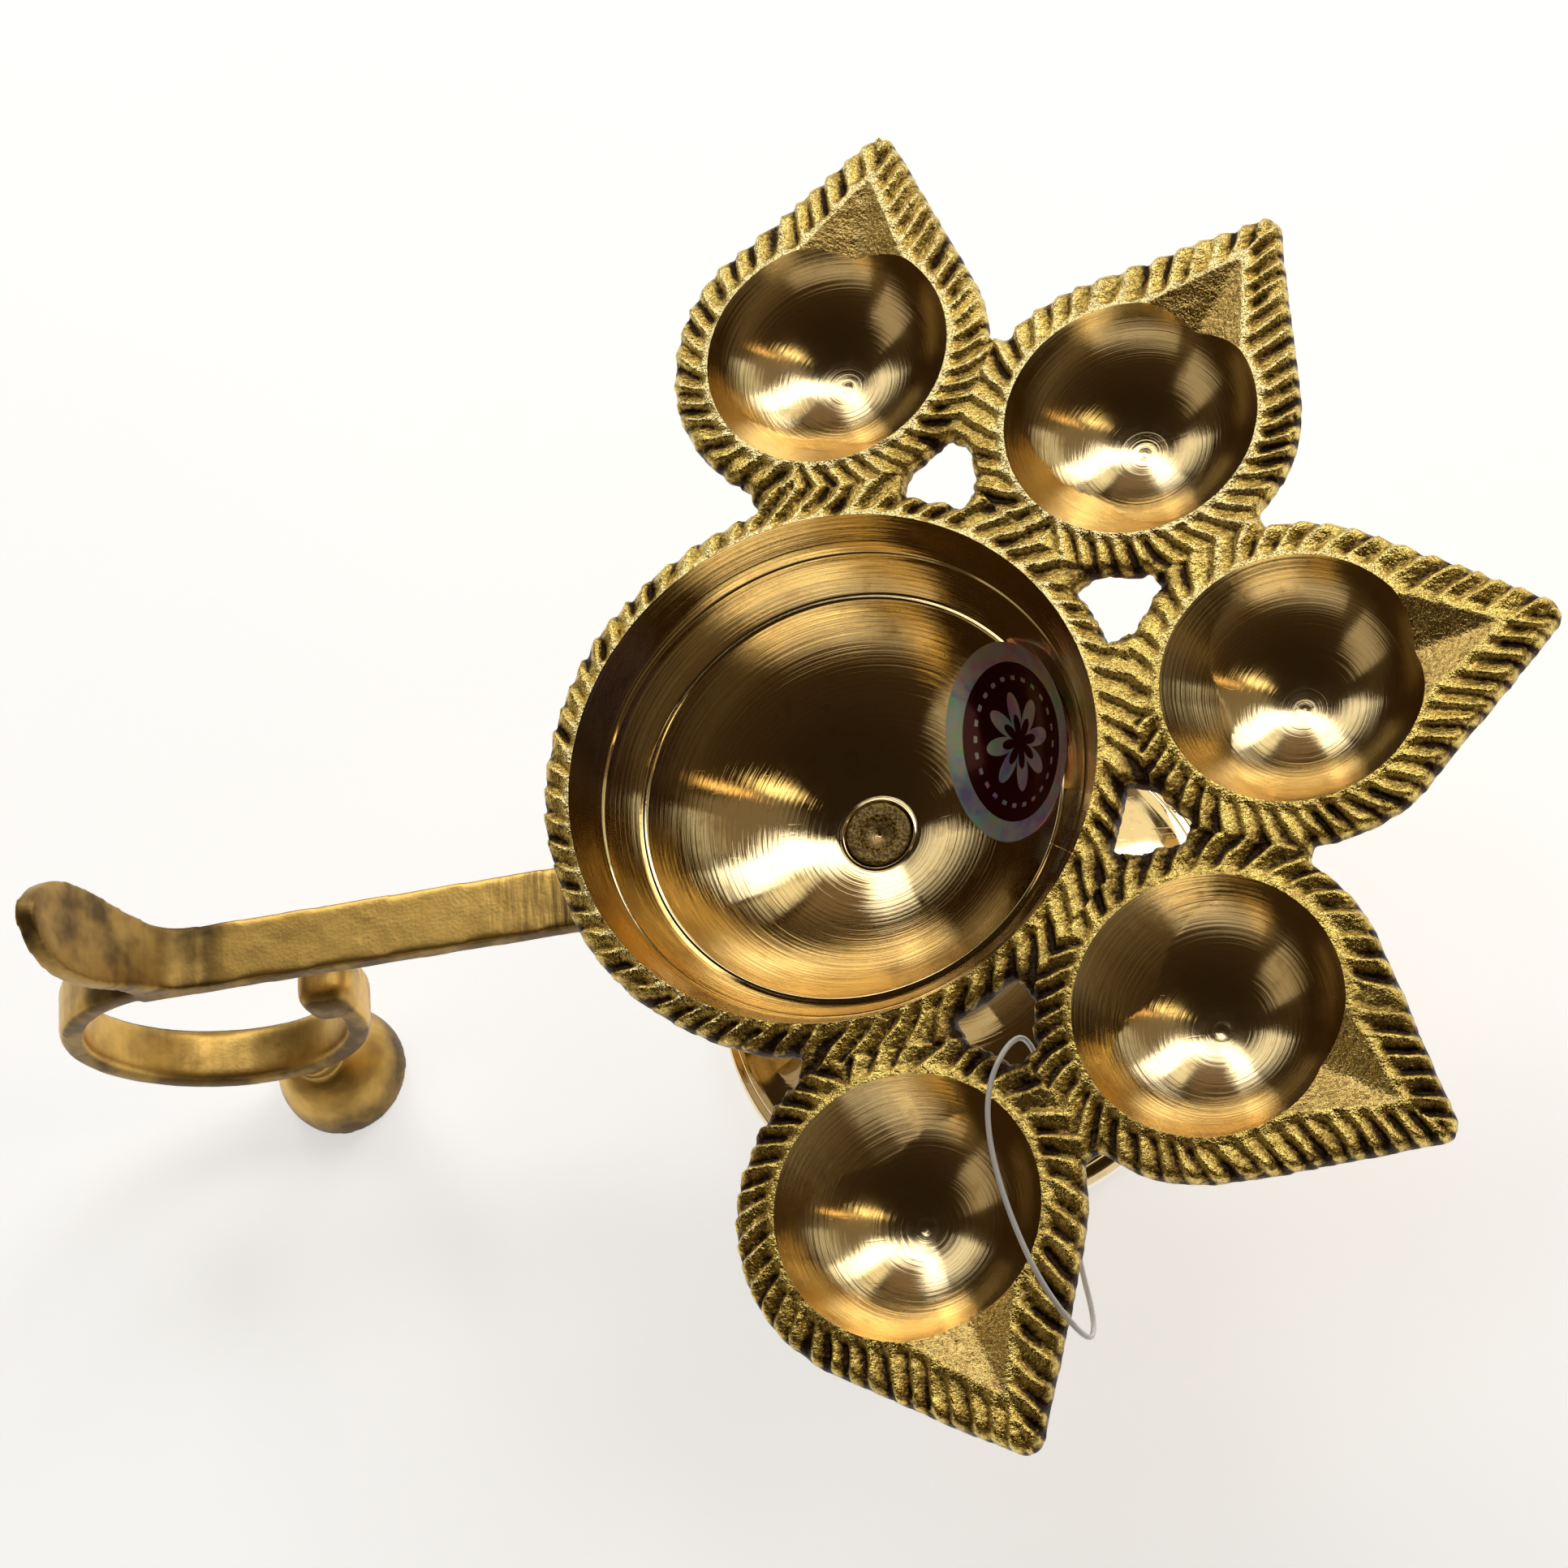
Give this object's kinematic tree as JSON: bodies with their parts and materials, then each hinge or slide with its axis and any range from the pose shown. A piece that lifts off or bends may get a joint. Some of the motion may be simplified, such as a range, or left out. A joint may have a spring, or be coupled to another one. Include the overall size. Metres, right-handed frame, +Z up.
{
  "type": "five-wick brass arati hand lamp",
  "caption": "Brass hand lamp with a central oil bowl, leaf-shaped wick cups round one side, a pedestal, and a flat handle with thumb rest and finger ring.",
  "frame": {"origin": "centre of the pedestal's base, on the table", "axes": "+Z up; +X from the bowl towards the middle wick cup, with the handle along -X; +Y to the left of +X"},
  "size_m": [0.1899, 0.1559, 0.0733],
  "materials": {
    "cast_brass": "rough cast ribbed borders with lathe-polished insides",
    "turned_brass": "lathe-turned and polished",
    "filed_brass": "filed and buffed, with cross-wise file marks",
    "foot_brass": "buffed",
    "foil_label": "holographic foil label with a dark red centre",
    "nylon": "clear nylon"
  },
  "bodies": {
    "root": {"oil_bowl": "cast_brass", "wick_cup_1": "cast_brass", "wick_cup_2": "cast_brass", "wick_cup_3": "cast_brass", "wick_cup_4": "cast_brass", "wick_cup_5": "cast_brass", "pedestal": "turned_brass", "handle": "filed_brass", "ring_foot": "foot_brass", "oval_label": "foil_label", "tag_filament": "nylon", "tag_lock": "nylon"}
  },
  "joints": []
}
